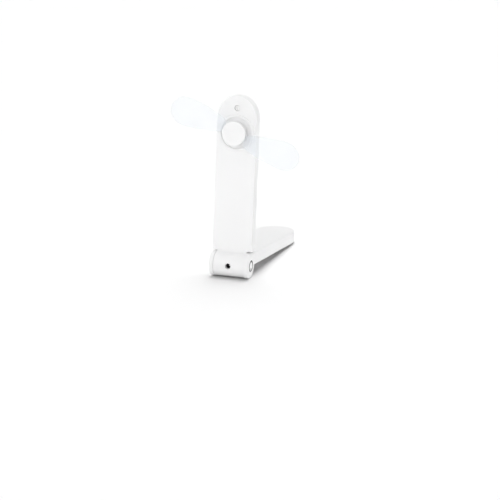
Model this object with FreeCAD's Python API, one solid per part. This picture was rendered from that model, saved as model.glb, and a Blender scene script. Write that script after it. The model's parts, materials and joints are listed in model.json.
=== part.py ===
import FreeCAD, Part
import math
import os

from FreeCAD import Vector

os.makedirs("parts", exist_ok=True)

# A folding hand fan. Two shallow halves are hinged at one end: the arm carries the motor, the
# blades and the battery, and the foot is a hollow lid that closes over the blades, or swings
# right round to stand the arm up. Every shape is drawn square: the hinge runs along X through
# the origin, the arm stands along +Z with its front face on y = 0 and its back towards +Y, and
# the foot lies along +Y with its open side down. The finished fan is then tipped back so that
# it rests on the foot's knuckles and far rim. All lengths are in millimetres.

# ---- driving dimensions ----
half_width = 17.0          # of both halves, across the hinge
half_depth = 10.4          # of each half, and the radius of the knuckles
tip_reach = 141.0          # hinge axis to the rounded tip
tip_length = 20.0          # length of the half-ellipse that ends each half
shoulder = 11.8            # hinge axis to the square end of each half
face_gap = 0.1             # each half stands off the parting plane by this much
wall = 1.6                 # side walls and faces
back_wall = 1.5            # back of the arm, top of the foot
edge_round = 1.8           # rounding of the outer long edges
barrel_radius = 10.0       # hinge barrel, on the arm
barrel_half = 12.9         # half length of the barrel
knuckle_inner = 13.1       # inner faces of the foot's two knuckles
knuckle_outer = 15.4       # floors of the round recesses in the knuckles' outer ends
root_round = 2.6           # hollow fillet where the barrel meets the arm's face
cover_split = 4.6          # plane where the arm's front cover meets its back shell
split_gap = 0.12           # half of the fine line between the two covers
outer_round = 0.5          # rounding of the arm's front edges
rim_round = 0.2            # rounding of small caps

hub_height = 110.0         # hinge axis to fan axis
screw_height = 130.5       # hinge axis to the cover screw
ring_outer = 15.0          # raised ring on the arm's face, round the rotor
ring_inner = 12.7
ring_front = -1.5          # the ring's front
ring_floor = -0.7          # the dish inside the ring
hub_radius = 10.0
blade_reach = 58.7         # fan axis to blade tip
blade_angle = 20.0         # the blades' line below level, in degrees
blade_pitch = 10.0
blade_thick = 1.2
pin_offset = 6.1           # fan axis to each blade's pin
right_level = -4.2         # middle of the right blade's root
left_level = -5.6          # middle of the left blade's root

board_hole_x = 10.0        # the two screws of the control board
board_hole_z = 18.5
axle_radius = 4.5
clip_radius = 6.3          # washers and clips on the pivots
flange_radius = 6.5
button_radius = 7.5        # the power button, and the plain cap on the other side
running_gap = 0.05
port_radius = 2.4          # mouth of the charging socket
stand_tilt = math.degrees(math.asin(half_depth / tip_reach))

along_x = Vector(1, 0, 0)
along_y = Vector(0, 1, 0)
along_z = Vector(0, 0, 1)


# ---- drawing helpers ----
def box(x0, x1, y0, y1, z0, z1):
    return Part.makeBox(x1 - x0, y1 - y0, z1 - z0, Vector(x0, y0, z0))


def rod_x(radius, x0, x1, y=0.0, z=0.0):
    return Part.makeCylinder(radius, x1 - x0, Vector(x0, y, z), along_x)


def rod_y(radius, y0, y1, x=0.0, z=0.0):
    return Part.makeCylinder(radius, y1 - y0, Vector(x, y0, z), along_y)


def join(first, *others):
    return first.multiFuse(list(others)).removeSplitter()


def tube_x(outer, inner, x0, x1, y=0.0, z=0.0):
    return rod_x(outer, x0, x1, y, z).cut(rod_x(inner, x0 - 1, x1 + 1, y, z))


def tube_y(outer, inner, y0, y1, x=0.0, z=0.0):
    return rod_y(outer, y0, y1, x, z).cut(rod_y(inner, y0 - 1, y1 + 1, x, z))


def both_sides(shape):
    """The shape and its mirror image across the middle, as two separate solids."""
    return Part.makeCompound([shape, shape.mirror(Vector(0, 0, 0), along_x)])


def round_rim(shape, axis, level, radius, skip_beyond=None):
    """Round the edges that lie flat at one level along an axis ("y" or "z")."""
    chosen = []
    for edge in shape.Edges:
        bounds = edge.BoundBox
        low = getattr(bounds, axis.upper() + "Min")
        high = getattr(bounds, axis.upper() + "Max")
        if abs(low - level) > 1e-4 or abs(high - level) > 1e-4:
            continue
        if skip_beyond is not None and skip_beyond(bounds):
            continue
        chosen.append(edge)
    return shape.makeFillet(radius, chosen)


def half_outline(inset, start, low, high):
    """Prism of a half's outline, lying flat along +Y, between two levels of Z."""
    side = half_width - inset
    straight_end = tip_reach - tip_length
    tip = Vector(0, tip_reach - inset, low)
    corner = Vector(side, straight_end, low)
    ellipse = Part.Ellipse(tip, corner, Vector(0, straight_end, low))
    curve = Part.ArcOfEllipse(ellipse, -math.pi / 2, math.pi / 2).toShape()
    first = Vector(-side, start, low)
    second = Vector(side, start, low)
    wire = Part.Wire([
        Part.makeLine(first, Vector(-side, straight_end, low)),
        curve,
        Part.makeLine(corner, second),
        Part.makeLine(second, first),
    ])
    return Part.Face(wire).extrude(Vector(0, 0, high - low))


def stand_up(shape):
    """Turn a shape drawn flat along +Y, thick along +Z, into one along +Z, thick along +Y."""
    turned = shape.copy()
    turned.rotate(Vector(0, 0, 0), Vector(0, 1, 1), 180)
    return turned


def lead(points, radius, bend):
    """A wire of straight runs joined by tangent arcs of one bend radius."""
    edges = []
    start = points[0]
    for before, corner, after in zip(points, points[1:], points[2:]):
        inward = (corner - before).normalize()
        outward = (after - corner).normalize()
        turn = inward.getAngle(outward)
        reach = bend * math.tan(turn / 2)
        arc_start = corner - inward * reach
        arc_end = corner + outward * reach
        bisector = (outward - inward).normalize()
        centre = corner + bisector * (bend / math.cos(turn / 2))
        middle = centre - bisector * bend
        edges.append(Part.makeLine(start, arc_start))
        edges.append(Part.Arc(arc_start, middle, arc_end).toShape())
        start = arc_end
    edges.append(Part.makeLine(start, points[-1]))
    heading = points[1] - points[0]
    section = Part.Wire([Part.makeCircle(radius, points[0], heading)])
    return Part.Wire(edges).makePipeShell([section], True, True)


def lead_pair(points, radius, bend, spacing):
    """Two wires side by side, the second moved by spacing."""
    first = lead(points, radius, bend)
    second = lead([point + spacing for point in points], radius, bend)
    return Part.makeCompound([first, second])


# ---- the arm: front cover and back shell ----
def neck(reach):
    """Web between the barrel and the arm's square end, hollowed towards the front."""
    tangent = math.atan2(shoulder, half_depth)
    tangent -= math.acos(barrel_radius / math.hypot(shoulder, half_depth))
    hollow_y = face_gap - root_round
    hollow_z = math.sqrt((barrel_radius + root_round) ** 2 - hollow_y ** 2)
    corners = [
        Vector(-reach, 0, 0),
        Vector(-reach, hollow_y, hollow_z),
        Vector(-reach, face_gap, hollow_z),
        Vector(-reach, half_depth, hollow_z),
        Vector(-reach, half_depth, shoulder),
        Vector(-reach, barrel_radius * math.cos(tangent), barrel_radius * math.sin(tangent)),
        Vector(-reach, 0, 0),
    ]
    web = Part.Face(Part.makePolygon(corners)).extrude(Vector(2 * reach, 0, 0))
    return web.cut(rod_x(root_round, -reach - 1, reach + 1, hollow_y, hollow_z))


def rotor_ring():
    """Low raised ring round the rotor's place, with a shallow dish inside it."""
    ring = rod_y(ring_outer, ring_front, face_gap + 1, z=hub_height)
    ring = ring.cut(rod_y(ring_inner, ring_front - 1, ring_floor, z=hub_height))
    return round_rim(ring, "y", ring_front, 0.6)


pocket_radius = 8.1          # seat of the motor, behind the dish
inner_face = face_gap + wall
barrel_inner = barrel_half - wall


def arm_block():
    """Both covers together, hollow, before they are parted."""
    body = stand_up(half_outline(0, shoulder, face_gap, half_depth))
    body = round_rim(body, "y", half_depth, edge_round, lambda b: b.ZMax < shoulder + 0.01)
    body = round_rim(body, "y", face_gap, outer_round, lambda b: b.ZMax < shoulder + 0.01)
    barrel = rod_x(barrel_radius, -barrel_half, barrel_half)
    outside = join(body, barrel, neck(barrel_half), rotor_ring())
    cavity = stand_up(half_outline(wall, shoulder + wall, inner_face, half_depth - back_wall))
    passage_back = barrel_radius - wall - 0.1
    passage = box(-barrel_inner, barrel_inner, inner_face, passage_back, 0, shoulder + wall)
    bore = rod_x(barrel_radius - wall, -barrel_inner, barrel_inner)
    pocket = rod_y(pocket_radius, 0.0, inner_face, z=hub_height)
    inside = join(cavity, passage, bore, pocket)
    axle_bores = rod_x(axle_radius + running_gap, -barrel_half - 1, barrel_half + 1)
    return outside.cut(inside).cut(axle_bores)


bush_radius = 1.5            # the motor's bearing
shaft_radius = 0.75
socket_front = -6.2          # where the sleeve ends and the socket's dark body starts
sleeve_radius = 3.1
screw_well = 2.5             # radius of the cover screw's well
screw_floor = 2.1
screw_radius = 0.75          # cover screw
small_screw_radius = 0.6     # board screws


def arm_front_cover(block):
    edge = cover_split - split_gap
    front = block.common(box(-20, 20, -12, edge, -12, 145))
    socket_seat = rod_y(4.3, -9.2, socket_front - 0.1)
    screw_seat = rod_y(3.6, face_gap + 1, edge, z=screw_height)
    front = join(front, socket_seat, screw_seat)
    post_end = 3.0
    for side in (-board_hole_x, board_hole_x):
        post = rod_y(1.8, face_gap + 1, post_end, x=side, z=board_hole_z)
        pilot = rod_y(small_screw_radius, 1.9, post_end + 1, x=side, z=board_hole_z)
        front = join(front, post).cut(pilot)
    front = front.cut(rod_y(sleeve_radius + 0.02, -11, socket_front))
    front = front.cut(rod_y(screw_well, -1, screw_floor, z=screw_height))
    front = front.cut(rod_y(screw_radius + 0.15, 2, 6, z=screw_height))
    return front.cut(rod_y(bush_radius + 0.2, -3, 2, z=hub_height))


def arm_back_shell(block):
    edge = cover_split + split_gap
    back = block.common(box(-20, 20, edge, 12, -12, 145))
    lip_front = 3.6
    lip_back = 6.0
    lip_outer = stand_up(half_outline(wall + 0.05, shoulder + wall + 1, lip_front, lip_back))
    lip_inner = stand_up(half_outline(wall + 0.85, shoulder - 1, lip_front - 1, lip_back + 1))
    root = stand_up(half_outline(wall - 0.4, shoulder + wall + 1, edge + 0.3, lip_back))
    lip = join(lip_outer, root).cut(lip_inner)
    post = rod_y(2.6, edge, 9.2, z=screw_height)
    stop_rib = box(-7.2, -5.7, lip_back, 9.0, -1.2, 1.2)
    back = join(back, lip, post, stop_rib)
    return back.cut(rod_y(screw_radius, 4, 8.5, z=screw_height))


def cover_screw():
    """Pan head with a cross recess, sunk into the front cover."""
    head_front = 0.8
    head = rod_y(screw_well - 0.2, head_front, screw_floor, z=screw_height)
    head = round_rim(head, "y", head_front, 0.4)
    slot_deep = head_front + 0.7
    cross = box(-1.3, 1.3, head_front - 1, slot_deep, screw_height - 0.25, screw_height + 0.25)
    turned = cross.copy()
    turned.rotate(Vector(0, 0, screw_height), along_y, 90)
    shank = rod_y(screw_radius, screw_floor - 0.1, 8.2, z=screw_height)
    return join(head, shank).cut(cross).cut(turned)


# ---- the motor, inside the arm ----
motor_radius = 8.0
motor_front = 0.05
cap_front = 7.4              # where the can ends and the end cap starts
motor_back = 7.9
can_wall = 0.6
magnet_inner = 6.2


def motor_can():
    can = rod_y(motor_radius, motor_front, cap_front, z=hub_height)
    hollow = rod_y(motor_radius - can_wall, motor_front + 0.8, cap_front + 1, z=hub_height)
    return can.cut(hollow).cut(rod_y(bush_radius, -1, 2, z=hub_height))


def motor_bearing():
    """Sintered bush pressed into the can, standing through the front cover."""
    return tube_y(bush_radius, shaft_radius + 0.03, -1.3, 1.2, z=hub_height)


def motor_magnets():
    """Two curved magnets on the inside of the can, left and right."""
    ring = tube_y(motor_radius - can_wall, magnet_inner, 1.2, 7.0, z=hub_height)
    slot = box(-3.5, 3.5, 0, 8, hub_height - 9, hub_height + 9)
    return ring.cut(slot)


def motor_end_cap():
    """Nylon cap, and the two spring terminals that stand through its slots."""
    cap = rod_y(motor_radius, cap_front, motor_back, z=hub_height)
    terminals = []
    slot_height = hub_height - 5.3
    for start in (-5.0, 3.6):
        slot = box(start - 0.1, start + 1.5, 6, 9, slot_height - 0.4, slot_height + 0.4)
        tag = box(start, start + 1.4, cap_front, 8.6, slot_height - 0.3, slot_height + 0.3)
        cap = cap.cut(slot)
        terminals.append(tag)
    return cap, Part.makeCompound(terminals)


def motor_armature():
    """Three wound poles around the shaft, clear of the magnets."""
    core_radius = 5.8
    core = rod_y(core_radius, 1.8, 6.6, z=hub_height)
    for turn in range(3):
        gap = box(-0.6, 0.6, 1, 7, hub_height + 2.5, hub_height + core_radius + 1)
        gap.rotate(Vector(0, 0, hub_height), along_y, 120 * turn)
        core = core.cut(gap)
    return core.cut(rod_y(shaft_radius, 1, 7, z=hub_height))


def motor_shaft():
    return rod_y(shaft_radius, -6.8, 7.2, z=hub_height)


# ---- cell, boards and switch, inside the arm ----
cell_half = 13.0
cell_front = 2.3
cell_back = 8.0
cell_low = 40.0
cell_high = 93.0
board_front = 3.0
board_back = 4.0


def battery_cell():
    """Flat lithium pouch with rounded long edges and a folded top seal."""
    pouch = box(-cell_half, cell_half, cell_front, cell_back, cell_low, cell_high)
    long_edges = [e for e in pouch.Edges if e.BoundBox.ZLength > cell_high - cell_low - 1]
    pouch = pouch.makeFillet(1.6, long_edges)
    seal = box(-9, 9, 4.6, 5.4, cell_low - 3.5, cell_low + 0.5)
    return join(pouch, seal)


def battery_pad():
    """Strip of double-sided foam that holds the cell to the front cover."""
    return box(-8, 8, inner_face, cell_front, cell_low + 8, cell_high - 7)


def control_board():
    board = box(-12, 12, board_front, board_back, 16, 34)
    for side in (-board_hole_x, board_hole_x):
        board = board.cut(rod_y(0.8, 2, 5, x=side, z=board_hole_z))
    return board


def board_screws():
    screws = []
    for side in (-board_hole_x, board_hole_x):
        head = rod_y(1.6, board_back, 4.8, x=side, z=board_hole_z)
        shank = rod_y(small_screw_radius, 2.0, board_back + 0.1, x=side, z=board_hole_z)
        screws.append(join(head, shank))
    return Part.makeCompound(screws)


def board_components():
    """Charge controller, inductor, three small parts and a round capacitor."""
    chips = [
        box(-6.5, -1.5, board_back, 5.4, 22, 26),
        box(1.5, 5.5, board_back, 6.4, 21.5, 25.5),
        box(-8.0, -6.0, board_back, 4.8, 29, 32),
        box(-2.0, 1.0, board_back, 5.0, 29, 31),
        box(6.0, 8.5, board_back, 4.8, 28, 30),
        rod_y(1.6, board_back, 6.8, x=8.8, z=23),
    ]
    return Part.makeCompound(chips)


switch_front = 5.2           # where the switch stands on its own board
switch_mouth = 8.4
plunger_end = 12.85          # the plunger's tip meets the button's stem


def switch_body():
    body = box(switch_front, switch_mouth, -3.1, 3.1, -3.1, 3.1)
    return body.cut(rod_x(1.3, 6.9, switch_mouth + 1))


def switch_plunger():
    plunger = rod_x(1.2, 7.7, plunger_end)
    tip = [e for e in plunger.Edges if abs(e.BoundBox.XMin - plunger_end) < 1e-4]
    return plunger.makeFillet(0.3, tip)


def switch_board():
    return box(switch_front - 0.8, switch_front, -5.6, 5.6, -4.4, 4.4)


# ---- charging socket in the barrel ----
well_radius = 1.8            # bore of the socket's body, behind the mouth
well_floor = -0.5
pin_front = -5.2


def socket_sleeve():
    """White sleeve in the barrel's hole, flush with its outside."""
    sleeve = rod_y(sleeve_radius, -barrel_radius, socket_front)
    sleeve = sleeve.common(rod_x(barrel_radius, -5, 5))
    return sleeve.cut(rod_y(port_radius, -11, socket_front + 1))


def charging_socket():
    """Dark body of the round low-voltage socket, with a bore for the plug's tip."""
    body = box(-4.2, 4.2, socket_front, 2.0, -4.0, 4.0)
    return body.cut(rod_y(well_radius, socket_front - 1, well_floor))


def charging_pin():
    pin = rod_y(0.65, pin_front, well_floor)
    return round_rim(pin, "y", pin_front, 0.4)


def charging_contacts():
    tags = []
    for side in (-2.6, 0.0, 2.6):
        tags.append(box(side - 0.6, side + 0.6, 2.0, 4.4, -1.5, -1.1))
    return Part.makeCompound(tags)


# ---- hinge ----
flange_face = knuckle_outer + 0.5


def axle_right():
    """Hollow flanged pivot, pressed through the right knuckle into the barrel."""
    flange = rod_x(flange_radius, knuckle_outer, flange_face)
    stem = rod_x(axle_radius, 9.8, knuckle_outer + 0.1)
    return join(flange, stem).cut(rod_x(2.6, 9, 17))


def axle_left():
    """Solid flanged pivot on the other side."""
    flange = rod_x(flange_radius, -flange_face, -knuckle_outer)
    stem = rod_x(axle_radius, -knuckle_outer - 0.1, -8.2)
    return join(flange, stem)


def friction_washers():
    """One inside each end wall of the barrel."""
    washer = tube_x(clip_radius, axle_radius + running_gap, barrel_inner - 0.4, barrel_inner - 0.05)
    return both_sides(washer)


def retaining_clips():
    """Slotted rings that grip the pivots' inner ends."""
    return both_sides(tube_x(clip_radius, axle_radius, barrel_inner - 1.3, barrel_inner - 0.5))


def stop_collar():
    """Ring on the left pivot; its lug meets the arm's rib when the foot is right round."""
    collar_start = -9.8
    collar_end = -8.4
    ring = tube_x(5.6, axle_radius, collar_start, collar_end)
    lug = box(collar_start, -5.7, -1.4, 1.4, 5.0, 8.0)
    lug.rotate(Vector(0, 0, 0), along_x, -116)
    lug = lug.cut(rod_x(5.0, collar_end, -5.2))
    return join(ring, lug).cut(rod_x(axle_radius, -11, collar_end + 0.2))


# ---- power button, and the plain cap at the other end ----
button_face = 17.15
button_back = 16.45
mark_floor = 16.95           # the mark fills a groove of the cap, from here to its face
mark_outer = 5.0
mark_inner = 3.5
mark_gap = 3.2               # width of the ring's gap
bar_width = 1.4
bar_end = -1.6


def power_button():
    """Round cap in the right knuckle; its stem runs down the hollow pivot."""
    cap = rod_x(button_radius, button_back, button_face)
    rim = [e for e in cap.Edges if abs(e.BoundBox.XMin - button_face) < 1e-4]
    cap = cap.makeFillet(rim_round, rim)
    stem = rod_x(2.5, plunger_end + 0.05, button_back + 0.1)
    return join(cap, stem).cut(power_symbol())


def power_symbol():
    """Plain ring with a gap and a short bar, moulded into the cap in a second colour."""
    ring = tube_x(mark_outer, mark_inner, mark_floor, button_face)
    opening = box(mark_floor - 1, button_face + 1, -mark_gap / 2, mark_gap / 2, -mark_outer - 1, 0)
    bar = box(mark_floor, button_face, -bar_width / 2, bar_width / 2, -mark_outer, bar_end)
    return Part.makeCompound([ring.cut(opening), bar])


def hinge_cap():
    """Plain disc that closes the left knuckle."""
    cap = rod_x(button_radius + running_gap, -half_width, -flange_face - running_gap)
    rim = [e for e in cap.Edges if abs(e.BoundBox.XMax + half_width) < 1e-4]
    return cap.makeFillet(rim_round, rim)


# ---- rotor ----
hub_gap_start = -6.6         # the gap between the hub's two discs is from here
hub_gap_end = -3.1           # to here
hub_foot = -2.0              # the lower disc's back
pin_radius = 1.0
pin_tip = -7.2               # the pins' front ends, inside the cap


def pin_place(side):
    angle = math.radians(blade_angle)
    return side * pin_offset * math.cos(angle), hub_height - side * pin_offset * math.sin(angle)


def hub_base():
    disc = rod_y(hub_radius - 0.4, hub_gap_end, hub_foot, z=hub_height)
    post = rod_y(2.0, hub_gap_start, hub_gap_end + 0.1, z=hub_height)
    base = join(disc, post).cut(rod_y(shaft_radius, -9, 0, z=hub_height))
    for side in (-1, 1):
        x, z = pin_place(side)
        base = base.cut(rod_y(pin_radius, -9, 0, x=x, z=z))
    return base


def hub_cap():
    cap_face = -8.3
    cap = rod_y(hub_radius, cap_face, hub_gap_start, z=hub_height)
    cap = round_rim(cap, "y", cap_face, 0.6)
    cap = cap.cut(rod_y(shaft_radius + 0.05, -6.9, -6, z=hub_height))
    for side in (-1, 1):
        x, z = pin_place(side)
        cap = cap.cut(rod_y(pin_radius, pin_tip, -6, x=x, z=z))
    return cap


def blade_pins():
    pins = []
    for side in (-1, 1):
        x, z = pin_place(side)
        pins.append(rod_y(pin_radius, pin_tip, hub_foot, x=x, z=z))
    return Part.makeCompound(pins)


eye_radius = 2.7             # the blade's root, round its pin
tongue_length = 12.0
post_room = 2.25             # cut out of the root to clear the hub's post


def blade(side, level):
    """Soft paddle on its pin: a flat eye and tongue between the hub's discs, then the sail."""
    reach = blade_reach - pin_offset
    under = Vector(0, 0, -blade_thick / 2)
    eye = Part.makeCylinder(eye_radius, blade_thick, under, along_z)
    tongue_corner = under - Vector(0, eye_radius, 0)
    tongue = Part.makeBox(tongue_length, 2 * eye_radius, blade_thick, tongue_corner)
    outline = [
        Vector(4.6, 2.8, 0),
        Vector(10, 5.0, 0),
        Vector(20, 8.0, 0),
        Vector(30, 10.4, 0),
        Vector(40, 11.8, 0),
        Vector(reach - 5, 8.8, 0),
        Vector(reach, 0.5, 0),
        Vector(reach - 2.2, -6.0, 0),
        Vector(reach - 9, -11.0, 0),
        Vector(30, -11.8, 0),
        Vector(14, -10.0, 0),
        Vector(4.6, -7.0, 0),
    ]
    curve = Part.BSplineCurve()
    curve.interpolate(outline)
    foot = Part.makeLine(outline[-1], outline[0])
    sail = Part.Face(Part.Wire([curve.toShape(), foot])).extrude(Vector(0, 0, blade_thick))
    sail.translate(under)
    sail.rotate(Vector(0, 0, 0), along_x, blade_pitch)
    shape = join(eye, tongue, sail)
    shape = shape.cut(Part.makeCylinder(pin_radius + running_gap, 9, Vector(0, 0, -4), along_z))
    keep_out = Part.makeCylinder(post_room, 9, Vector(-pin_offset, 0, -4), along_z)
    shape = shape.cut(keep_out)
    shape.rotate(Vector(0, 0, 0), along_x, 90)
    shape.rotate(Vector(0, 0, 0), along_y, blade_angle if side > 0 else blade_angle + 180)
    x, z = pin_place(side)
    shape.translate(Vector(x, level, z))
    return shape


# ---- the foot ----
def base_shell():
    """Hollow lid with the two knuckles of the hinge."""
    slab = half_outline(0, 0, face_gap, half_depth)
    slab = round_rim(slab, "z", half_depth, edge_round, lambda b: b.YMax < 0.01)
    drum = rod_x(half_depth, -half_width, half_width)
    rims = [e for e in drum.Edges if e.BoundBox.XLength < 1e-4]
    drum = drum.makeFillet(edge_round, rims)
    outside = join(slab, drum)
    notch = box(-knuckle_inner, knuckle_inner, -12, shoulder, -12, 12)
    hollow = half_outline(wall, shoulder + wall, face_gap - 1, half_depth - back_wall)
    shell = outside.cut(notch).cut(hollow)
    recess = rod_x(button_radius + 0.1, knuckle_outer, half_width + 1)
    pivot_hole = rod_x(axle_radius, knuckle_inner - 1, knuckle_outer + 1)
    return shell.cut(both_sides(recess)).cut(both_sides(pivot_hole))


# ---- wiring inside the arm ----
def motor_leads():
    """One wire down each side of the cell, from the motor's terminals to the board."""
    beside = cell_half + 1.1
    route = [
        Vector(-4.3, 8.35, hub_height - 5.7),
        Vector(-4.3, 8.35, 99.0),
        Vector(-beside, 7.4, 95.0),
        Vector(-beside, 7.0, 38.0),
        Vector(-8.0, 5.6, 34.6),
        Vector(-8.0, 4.5, 32.6),
    ]
    return both_sides(lead(route, 0.4, 0.9))


def battery_leads():
    route = [
        Vector(-4, 5.0, cell_low - 3.6),
        Vector(-4, 5.0, 34.8),
        Vector(-4, 4.5, 33.0),
    ]
    return lead_pair(route, 0.45, 1.0, Vector(8, 0, 0))


def socket_leads():
    route = [
        Vector(-2.6, 4.5, -0.9),
        Vector(-2.6, 5.4, 5.0),
        Vector(-3.4, 5.4, 12.0),
        Vector(-3.4, 4.6, 18.0),
    ]
    return lead_pair(route, 0.45, 1.5, Vector(5.2, 0, 0))


def switch_leads():
    route = [
        Vector(4.8, 0.0, 4.75),
        Vector(4.8, 2.6, 9.0),
        Vector(6.0, 5.0, 12.5),
        Vector(6.0, 4.6, 17.5),
    ]
    return lead_pair(route, 0.4, 1.5, Vector(1.4, 0, 0))


# ---- assembly ----
block = arm_block()
end_cap, terminals = motor_end_cap()
nodes = {
    "arm_front_cover": arm_front_cover(block),
    "arm_back_shell": arm_back_shell(block),
    "cover_screw": cover_screw(),
    "motor_can": motor_can(),
    "motor_bearing": motor_bearing(),
    "motor_magnets": motor_magnets(),
    "motor_end_cap": end_cap,
    "motor_terminals": terminals,
    "motor_armature": motor_armature(),
    "motor_shaft": motor_shaft(),
    "battery_cell": battery_cell(),
    "battery_pad": battery_pad(),
    "control_board": control_board(),
    "board_screws": board_screws(),
    "board_components": board_components(),
    "socket_sleeve": socket_sleeve(),
    "charging_socket": charging_socket(),
    "charging_pin": charging_pin(),
    "charging_contacts": charging_contacts(),
    "switch_board": switch_board(),
    "switch_body": switch_body(),
    "switch_plunger": switch_plunger(),
    "motor_leads": motor_leads(),
    "battery_leads": battery_leads(),
    "socket_leads": socket_leads(),
    "switch_leads": switch_leads(),
    "base_shell": base_shell(),
    "axle_right": axle_right(),
    "axle_left": axle_left(),
    "friction_washers": friction_washers(),
    "retaining_clips": retaining_clips(),
    "stop_collar": stop_collar(),
    "hinge_cap": hinge_cap(),
    "power_button": power_button(),
    "power_symbol": power_symbol(),
    "hub_base": hub_base(),
    "hub_cap": hub_cap(),
    "blade_pins": blade_pins(),
    "blade_left": blade(-1, left_level),
    "blade_right": blade(1, right_level),
}

# Tip the whole fan back onto its knuckles and rim, then centre it over the origin.
for shape in nodes.values():
    shape.rotate(Vector(0, 0, 0), along_x, -stand_tilt)
reach_back = nodes["base_shell"].optimalBoundingBox(False).YMax
middle = (reach_back - half_depth) / 2
for name, shape in nodes.items():
    shape.translate(Vector(0, -middle, half_depth))
    bounds = shape.optimalBoundingBox(False)
    print(f"{name:18} solids {len(shape.Solids)} valid {shape.isValid()} volume {shape.Volume:9.1f}"
          f"  x {bounds.XMin:7.2f} {bounds.XMax:7.2f}  y {bounds.YMin:7.2f} {bounds.YMax:7.2f}"
          f"  z {bounds.ZMin:7.2f} {bounds.ZMax:7.2f}")
    shape.exportStep(os.path.join("parts", name + ".step"))
print(f"hinge axis at y {-middle:.4f} z {half_depth}, tilt {stand_tilt:.4f} degrees")
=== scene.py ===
import json
import math

import bpy
from mathutils import Matrix, Vector


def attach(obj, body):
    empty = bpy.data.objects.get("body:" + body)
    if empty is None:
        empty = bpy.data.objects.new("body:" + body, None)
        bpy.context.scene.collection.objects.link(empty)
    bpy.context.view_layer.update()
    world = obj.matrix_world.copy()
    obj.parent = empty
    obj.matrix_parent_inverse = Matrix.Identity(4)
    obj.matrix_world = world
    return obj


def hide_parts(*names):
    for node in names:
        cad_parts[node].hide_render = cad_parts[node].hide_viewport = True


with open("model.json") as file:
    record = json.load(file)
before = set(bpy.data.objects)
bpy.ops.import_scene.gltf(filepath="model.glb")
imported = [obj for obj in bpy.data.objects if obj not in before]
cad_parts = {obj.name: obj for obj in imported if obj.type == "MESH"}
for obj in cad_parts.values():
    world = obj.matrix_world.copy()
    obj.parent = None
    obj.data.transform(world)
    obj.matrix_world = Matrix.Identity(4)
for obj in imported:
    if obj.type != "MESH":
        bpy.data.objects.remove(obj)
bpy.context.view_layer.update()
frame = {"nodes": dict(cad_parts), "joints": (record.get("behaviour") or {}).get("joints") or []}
nodes = frame["nodes"]
joints = {joint["name"]: joint for joint in frame["joints"]}


# ---- Front cover of the arm ----
# A shallow tray injection-moulded in white ABS: half of the hinge barrel, the raised ring round
# the rotor and the screw's well come out of one tool, which was spark-eroded to a fine satin.
class Value:
    """A number, colour or vector inside a node tree. Arithmetic on it adds the nodes for it."""

    def __init__(self, tree, socket):
        self.tree = tree
        self.socket = socket

    def maths(self, operation, first, second=0.0):
        return self.tree.add("ShaderNodeMath", {"operation": operation}, {0: first, 1: second})

    def __add__(self, other):
        return self.maths("ADD", self, other)

    def __radd__(self, other):
        return self.maths("ADD", other, self)

    def __sub__(self, other):
        return self.maths("SUBTRACT", self, other)

    def __rsub__(self, other):
        return self.maths("SUBTRACT", other, self)

    def __mul__(self, other):
        return self.maths("MULTIPLY", self, other)

    def __rmul__(self, other):
        return self.maths("MULTIPLY", other, self)

    def cosine(self):
        return self.maths("COSINE", self)

    def sine(self):
        return self.maths("SINE", self)


class Tree:
    """A node tree under construction."""

    def __init__(self, tree):
        self.tree = tree

    def add(self, kind, settings, sockets, output=0):
        """Add a node: its settings first, then the values or links of its sockets."""
        node = self.tree.nodes.new(kind)
        for name, value in settings.items():
            setattr(node, name, value)
        for name, value in sockets.items():
            for one in value if isinstance(value, list) else [value]:
                if isinstance(one, Value):
                    self.tree.links.new(one.socket, node.inputs[name])
                else:
                    node.inputs[name].default_value = one
        return Value(self, node.outputs[output]) if len(node.outputs) else None


class Paint(Tree):
    """The tree of one material."""

    def __init__(self, name):
        self.material = bpy.data.materials.new(name)
        self.material.use_nodes = True
        super().__init__(self.material.node_tree)
        self.tree.nodes.clear()
        self.place = self.add("ShaderNodeTexCoord", {}, {}, "Object")

    def noise(self, per_metre, detail=2.0, place=None):
        """Soft random values from 0 to 1, so many to a metre."""
        sockets = {"Vector": place or self.place, "Scale": per_metre, "Detail": detail}
        return self.add("ShaderNodeTexNoise", {}, sockets)

    def blend(self, share, first, second):
        """Colour that goes from the first to the second."""
        return self.add("ShaderNodeMix", {"data_type": "RGBA"}, {0: share, 6: first, 7: second}, 2)

    def bump(self, height, depth):
        """Surface relief of that depth in metres."""
        return self.add("ShaderNodeBump", {}, {"Height": height, "Distance": depth})

    def finish(self, sockets):
        """Feed the surface shader and return the finished material."""
        shader = self.add("ShaderNodeBsdfPrincipled", {}, sockets)
        self.add("ShaderNodeOutputMaterial", {}, {"Surface": shader})
        return self.material


def moulding(name, colour, roughness, grain=0.000010, grain_per_metre=4200.0, unevenness=0.035):
    """Moulded plastic: grain of that depth, a faint flow cloud and slight changes in gloss."""
    paint = Paint(name)
    cloud = paint.noise(34.0, 3.0)
    deeper = tuple(part * (1 - unevenness) for part in colour) + (1,)
    gloss = paint.noise(300.0, 4.0) + 0.5 * paint.noise(1900.0)
    return paint.finish({
        "Base Color": paint.blend(cloud, colour + (1,), deeper),
        "Roughness": roughness + 0.12 * (gloss - 0.75),
        "Specular IOR Level": 0.4,
        "Normal": paint.bump(paint.noise(grain_per_metre, 3.0), grain),
    })


def put_on(material, *names):
    """Give CAD nodes a material in place of their packed one."""
    for name in names:
        mesh = nodes[name].data
        mesh.materials.clear()
        mesh.materials.append(material)


white_abs = moulding("white_abs_satin", (0.92, 0.92, 0.922), 0.42)
put_on(white_abs, "arm_front_cover")


# ---- Back shell of the arm ----
# The deeper half of the handle, from the same white ABS. A lip all round locates it inside the
# front cover, and leaves the fine line between the two along the arm's sides.
put_on(white_abs, "arm_back_shell")


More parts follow.
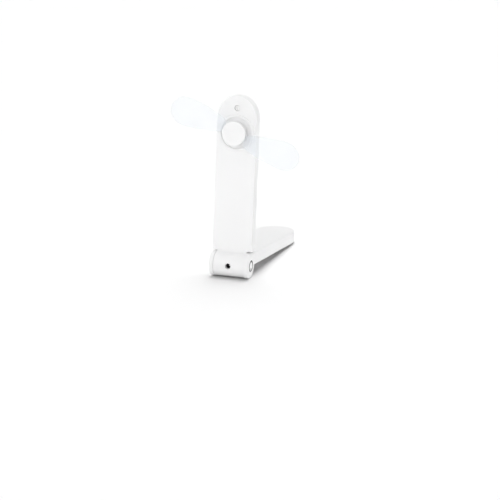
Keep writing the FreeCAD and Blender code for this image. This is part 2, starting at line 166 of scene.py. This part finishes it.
# ---- Cover screw ----
# A small pan-head screw with a cross recess, barrel-plated in bright nickel, that pulls the two
# covers together near the tip. Two smaller ones hold the control board.
def plated(name, colour, roughness, stretch=(1, 1, 1)):
    """Plated, drawn or ground metal with fine marks along one direction."""
    paint = Paint(name)
    along = paint.add("ShaderNodeMapping", {}, {"Vector": paint.place, "Scale": stretch})
    marks = paint.noise(1700.0, 3.0, along)
    tarnish = paint.noise(210.0, 3.0)
    duller = tuple(part * 0.84 for part in colour) + (1,)
    return paint.finish({
        "Base Color": paint.blend(0.6 * marks + 0.4 * tarnish, duller, colour + (1,)),
        "Metallic": 1.0,
        "Roughness": roughness + 0.18 * (marks - 0.5),
        "Normal": paint.bump(marks, 0.000005),
    })


nickel = plated("nickel_plate", (0.94, 0.94, 0.935), 0.34)
put_on(nickel, "cover_screw", "board_screws")


# ---- Motor ----
# A flat brushed motor: a deep-drawn steel can, two ferrite magnets, a sintered bronze bush, an
# armature in enamelled copper, and a nylon end cap with two sprung bronze terminals.
drawn_steel = plated("drawn_steel", (0.66, 0.66, 0.67), 0.30, (1, 0.12, 1))
put_on(drawn_steel, "motor_can", "motor_shaft", "blade_pins", "charging_pin")
bronze = plated("sintered_bronze", (0.62, 0.44, 0.24), 0.44)
put_on(bronze, "motor_bearing", "motor_terminals", "charging_contacts")
ferrite = moulding(
    "ferrite", (0.06, 0.06, 0.065), 0.62, grain=0.000020, grain_per_metre=2600.0, unevenness=0.3
)
put_on(ferrite, "motor_magnets")
enamel = plated("enamelled_copper", (0.55, 0.24, 0.10), 0.34, (1, 1, 0.15))
put_on(enamel, "motor_armature")
nylon = moulding("natural_nylon", (0.80, 0.78, 0.71), 0.46)
put_on(nylon, "motor_end_cap")


# ---- Cell and its pad ----
# A lithium pouch in crinkled laminated foil, stuck to the front cover with a strip of black
# double-sided foam.
foil = plated("laminated_foil", (0.74, 0.75, 0.77), 0.38, (0.4, 1, 1))
put_on(foil, "battery_cell")
foam = moulding(
    "foam_tape", (0.12, 0.12, 0.12), 0.85, grain=0.000060, grain_per_metre=2600.0, unevenness=0.3
)
put_on(foam, "battery_pad")


# ---- Control board and switch board ----
# Green glass-epoxy boards under a satin solder mask, with chips and a switch moulded in black
# epoxy and a small red plunger.
solder_mask = moulding(
    "solder_mask", (0.03, 0.22, 0.10), 0.34, grain=0.000004, grain_per_metre=900.0, unevenness=0.25
)
put_on(solder_mask, "control_board", "switch_board")
chip_resin = moulding(
    "chip_resin", (0.035, 0.035, 0.04), 0.55, grain=0.000012, grain_per_metre=3000.0, unevenness=0.3
)
put_on(chip_resin, "board_components", "switch_body")
plunger_red = moulding("plunger_red", (0.60, 0.05, 0.04), 0.30)
put_on(plunger_red, "switch_plunger")


# ---- Charging socket ----
# A white sleeve in the barrel's hole leads the plug to the socket's body, which is moulded in
# black nylon round a sprung steel pin.
put_on(white_abs, "socket_sleeve")
black_nylon = moulding(
    "black_nylon", (0.018, 0.018, 0.02), 0.50,
    grain=0.000012, grain_per_metre=3600.0, unevenness=0.3
)
put_on(black_nylon, "charging_socket")


# ---- Hinge pieces ----
# Nylon pivots are pressed through the knuckles and held in the barrel by spring-steel clips, with
# a nylon collar and washers that give the hinge its drag. A plain white disc closes one knuckle.
put_on(nylon, "axle_right", "axle_left", "stop_collar", "friction_washers")
put_on(drawn_steel, "retaining_clips")
put_on(white_abs, "hinge_cap")


# ---- Power button ----
# A round white cap in the right knuckle. Its mark is a second shot of black plastic, level with
# the cap's face.
button_white = moulding("white_button", (0.93, 0.93, 0.932), 0.34)
put_on(button_white, "power_button")
mark_black = moulding(
    "black_mark", (0.010, 0.010, 0.011), 0.40,
    grain=0.000008, grain_per_metre=3600.0, unevenness=0.3
)
put_on(mark_black, "power_symbol")


# ---- Hub ----
# Two white discs on the motor's shaft, a gap apart, that trap the blades' roots on steel pins.
hub_white = moulding("white_hub", (0.93, 0.93, 0.932), 0.36)
put_on(hub_white, "hub_base", "hub_cap")


# ---- Foot ----
# The hollow lid with the hinge's two knuckles, moulded in one piece from the arm's white ABS.
put_on(white_abs, "base_shell")


# ---- Leads ----
# Stranded copper wires in red silicone, soldered between the pieces inside the arm.
silicone = moulding("red_silicone", (0.50, 0.04, 0.03), 0.36)
put_on(silicone, "motor_leads", "battery_leads", "socket_leads", "switch_leads")


# ---- Blades ----
# Two soft paddles of clear elastomer with a trace of blue, which bend away from a finger. Each is
# moulded with an eye that turns on a pin between the hub's discs. The roots are flat, and the
# sails are pitched and stepped apart, so that they lie on each other when the fan is folded.
class Shape(Tree):
    """The tree of a Geometry Nodes modifier, with its sizes as named inputs."""

    def __init__(self, name, sizes):
        super().__init__(bpy.data.node_groups.new(name, "GeometryNodeTree"))
        interface = self.tree.interface
        interface.new_socket("Geometry", in_out="OUTPUT", socket_type="NodeSocketGeometry")
        self.keys = {}
        for size in sizes:
            socket = interface.new_socket(size, in_out="INPUT", socket_type="NodeSocketFloat")
            self.keys[size] = socket.identifier
        entry = self.tree.nodes.new("NodeGroupInput")
        self.size = {size: Value(self, entry.outputs[size]) for size in sizes}

    def sheet(self, columns, rows):
        """A unit square of faces, with its two coordinates from 0 to 1."""
        sockets = {"Size X": 1.0, "Size Y": 1.0, "Vertices X": columns, "Vertices Y": rows}
        square = self.add("GeometryNodeMeshGrid", {}, sockets)
        here = self.add("GeometryNodeInputPosition", {}, {})
        along = self.add("ShaderNodeSeparateXYZ", {}, {0: here}, "X") + 0.5
        across = self.add("ShaderNodeSeparateXYZ", {}, {0: here}, "Y") + 0.5
        return square, along, across

    def put(self, mesh, x, y, z):
        """Move every point of a mesh to its own place."""
        place = self.add("ShaderNodeCombineXYZ", {}, {"X": x, "Y": y, "Z": z})
        return self.add("GeometryNodeSetPosition", {}, {"Geometry": mesh, "Position": place})

    def curve(self, share, points):
        """A smooth graph through some points, read at a share from 0 to 1."""
        graph = self.add("ShaderNodeFloatCurve", {}, {"Value": share})
        mapping = graph.socket.node.mapping
        line = mapping.curves[0]
        for _ in points[2:]:
            line.points.new(0.5, 0.5)
        for point, place in zip(line.points, points):
            point.location = place
        mapping.update()
        return graph

    def finish(self, parts, material):
        """Weld the parts' seams, make instances real, set the material and end the tree."""
        whole = self.add("GeometryNodeJoinGeometry", {}, {"Geometry": parts})
        sockets = {"Geometry": whole, "Distance": 0.00001}
        welded = self.add("GeometryNodeMergeByDistance", {}, sockets)
        smooth = self.add("GeometryNodeSetShadeSmooth", {}, {"Geometry": welded})
        real = self.add("GeometryNodeRealizeInstances", {}, {"Geometry": smooth})
        sockets = {"Geometry": real, "Material": material}
        coated = self.add("GeometryNodeSetMaterial", {}, sockets)
        self.add("NodeGroupOutput", {}, {"Geometry": coated})


def made_mesh(name, shape, sizes, finishers):
    """Run a tree, then simple modifiers, and keep only the mesh that comes out."""
    holder = bpy.data.objects.new("making", bpy.data.meshes.new("making"))
    bpy.context.scene.collection.objects.link(holder)
    modifier = holder.modifiers.new("shape", "NODES")
    modifier.node_group = shape.tree
    for size, value in sizes.items():
        modifier[shape.keys[size]] = value
    for kind, settings in finishers:
        finisher = holder.modifiers.new(kind.lower(), kind)
        for setting, value in settings.items():
            setattr(finisher, setting, value)
    evaluated = holder.evaluated_get(bpy.context.evaluated_depsgraph_get())
    mesh = bpy.data.meshes.new_from_object(evaluated)
    mesh.name = name
    bpy.data.objects.remove(holder)
    return mesh


def clear_elastomer():
    """See-through rubber with faint flow clouds."""
    paint = Paint("clear_elastomer")
    cloud = paint.noise(60.0, 3.0)
    return paint.finish({
        "Base Color": paint.blend(cloud, (0.82, 0.90, 0.98, 1), (0.87, 0.93, 0.99, 1)),
        "Roughness": 0.24 + 0.12 * (paint.noise(420.0, 3.0) - 0.5),
        "Alpha": 0.15 + 0.05 * (cloud - 0.5),
        "Specular IOR Level": 0.3,
        "Normal": paint.bump(paint.noise(900.0), 0.000010),
    })


elastomer = clear_elastomer()
blade_sizes = {
    "Start": 0.0016,
    "Reach": 0.0522,
    "Half depth": 0.0120,
    "Steepest pitch": math.radians(8.0),
    "Dish": 0.0002,
    "Step": 0.0,
    "Pin hole": 0.00106,
    "Eye": 0.0027,
}
# Outlines and shares: millimetres from the pin, then the level or share there.
leading_edge = [(1.6, 2.1), (3.4, 2.3), (5.2, 3.1), (10, 5.0), (20, 8.0), (30, 10.4), (40, 11.8),
                (47.5, 8.8), (52.2, 0.6)]
trailing_edge = [(1.6, -2.1), (2.9, -2.6), (4.8, -6.6), (7.5, -8.4), (14, -10.0), (30, -11.8),
                 (43.5, -11.0), (50.3, -6.0), (52.2, 0.6)]
pitch_share = [(1.6, 0), (12.5, 0), (20, 0.5), (27, 0.9), (34, 0.6), (41, 0.25), (52.2, 0.05)]
step_share = [(1.6, 0), (12.5, 0), (19, 1), (52.2, 1)]
sail_step = {"right": -0.0003, "left": 0.0005}
thickness = 0.0010
rim = 0.00035
droop = math.radians(20)


def blade_graph(points, middle, depth):
    """Millimetres along the blade and a level there, as a graph from 0 to 1 on its own spacing."""
    start = 1000 * blade_sizes["Start"]
    span = 1000 * blade_sizes["Reach"] - start
    return [
        (math.acos(1 - 2 * (place - start) / span) / math.pi, middle + level / depth)
        for place, level in points
    ]


def blade_shape():
    """A sheet between two edges, flat at the root and pitched beyond it, and the pin's eye."""
    shape = Shape("blade", blade_sizes)
    size = shape.size
    sheet, along, across = shape.sheet(columns=84, rows=27)
    eased = 0.5 - 0.5 * (along * math.pi).cosine()
    reach = size["Start"] + (size["Reach"] - size["Start"]) * eased
    depth = 2000 * blade_sizes["Half depth"]
    edges = []
    for outline in (leading_edge, trailing_edge):
        edge = shape.curve(along, blade_graph(outline, 0.5, depth))
        edges.append(2.0 * size["Half depth"] * (edge - 0.5))
    level = edges[1] + (edges[0] - edges[1]) * across
    pitch = size["Steepest pitch"] * shape.curve(along, blade_graph(pitch_share, 0, 1))
    bow = 1.0 - (2.0 * across - 1.0) * (2.0 * across - 1.0)
    dish = size["Dish"] * bow * (along * math.pi).sine()
    step = size["Step"] * shape.curve(along, blade_graph(step_share, 0, 1))
    sail = shape.put(sheet, reach, level * pitch.cosine(), level * pitch.sine() - dish + step)

    ring, turn, spread = shape.sheet(columns=49, rows=4)
    radius = size["Pin hole"] + (size["Eye"] - size["Pin hole"]) * spread
    angle = turn * (2 * math.pi)
    eye = shape.put(ring, radius * angle.cosine(), radius * angle.sine(), 0.0)
    shape.finish([sail, eye], elastomer)
    return shape


blade_tree = blade_shape()
thicken = [
    ("SOLIDIFY", {"thickness": thickness, "offset": 0.0, "use_even_offset": True}),
    ("BEVEL", {"width": rim, "segments": 3, "limit_method": "ANGLE"}),
]
forward = Vector(joints["rotor_spin"]["axis"])
rightward = Vector((1, 0, 0))
upward = forward.cross(rightward)
for side, direction in (("right", 1), ("left", -1)):
    sizes = {**blade_sizes, "Step": sail_step[side]}
    mesh = made_mesh("soft_blade_" + side, blade_tree, sizes, thicken)
    outward = direction * (rightward * math.cos(droop) - upward * math.sin(droop))
    sideways = direction * (rightward * math.sin(droop) + upward * math.cos(droop))
    pin = Vector(joints[side + "_blade_fold"]["pos_m"])
    turned = Matrix((outward, sideways, forward)).transposed().to_4x4()
    mesh.transform(Matrix.Translation(pin) @ turned)
    blade = bpy.data.objects.new("soft_blade_" + side, mesh)
    bpy.context.scene.collection.objects.link(blade)
    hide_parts("blade_" + side)
    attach(blade, side + "_blade")


# ---- Table, lights and camera ----
# A plain white sweep under a soft sky and a large box overhead. A second one overhead lights the
# table only, and two wide boxes, at the front left and at the right, light the fan only.
def table(reach, height):
    """A square that reaches that far each way."""
    mesh = bpy.data.meshes.new("table")
    corners = [(-reach, -reach), (reach, -reach), (reach, reach), (-reach, reach)]
    mesh.from_pydata([(x, y, height) for x, y in corners], [], [(0, 1, 2, 3)])
    white = moulding(
        "white_table", (0.97, 0.97, 0.97), 0.8, grain=0.0, grain_per_metre=400.0, unevenness=0.002
    )
    mesh.materials.append(white)
    top = bpy.data.objects.new("table", mesh)
    bpy.context.scene.collection.objects.link(top)
    return top


def lamp(name, side, strength, spread, piece=None, state=""):
    """A far soft box on that side, so many degrees wide. It can include or leave out one piece."""
    light = bpy.data.lights.new(name, "SUN")
    light.energy = strength
    light.angle = math.radians(spread)
    holder = bpy.data.objects.new(name, light)
    holder.rotation_euler = Vector(side).to_track_quat("Z", "Y").to_euler()
    bpy.context.scene.collection.objects.link(holder)
    if piece:
        receivers = bpy.data.collections.new(name + "_receivers")
        receivers.objects.link(piece)
        receivers.collection_objects[0].light_linking.link_state = state
        holder.light_linking.receiver_collection = receivers


top = table(reach=60.0, height=-0.0002)
lamp("overhead", (-0.1, 0.5, 1.0), 1.5, 60)
lamp("sweep", (0.1, 0.08, 1.0), 0.88, 40, top, "INCLUDE")
lamp("front_left", (-0.5, -1.0, 0.40), 1.6, 100, top, "EXCLUDE")
lamp("right", (1.0, -0.2, 0.25), 1.0, 80, top, "EXCLUDE")

world = bpy.data.worlds.new("studio")
world.use_nodes = True
sky = world.node_tree.nodes["Background"]
sky.inputs["Color"].default_value = (1, 1, 1, 1)
sky.inputs["Strength"].default_value = 0.35
bpy.context.scene.world = world
bpy.context.scene.view_settings.view_transform = "Standard"

hinge = Vector(joints["foot_fold"]["pos_m"])
lens = bpy.data.cameras.new("camera")
lens.sensor_width = 36.0
lens.lens = 129.76
camera = bpy.data.objects.new("camera", lens)
camera.location = hinge + Vector((0.46155, -1.37163, 0.39355))
heading = Matrix.Rotation(math.radians(17.994), 4, "Z")
dip = Matrix.Rotation(math.radians(90 - 14.749), 4, "X")
roll = Matrix.Rotation(math.radians(0.972), 4, "Z")
camera.rotation_euler = (heading @ dip @ roll).to_euler()
bpy.context.scene.collection.objects.link(camera)
bpy.context.scene.camera = camera
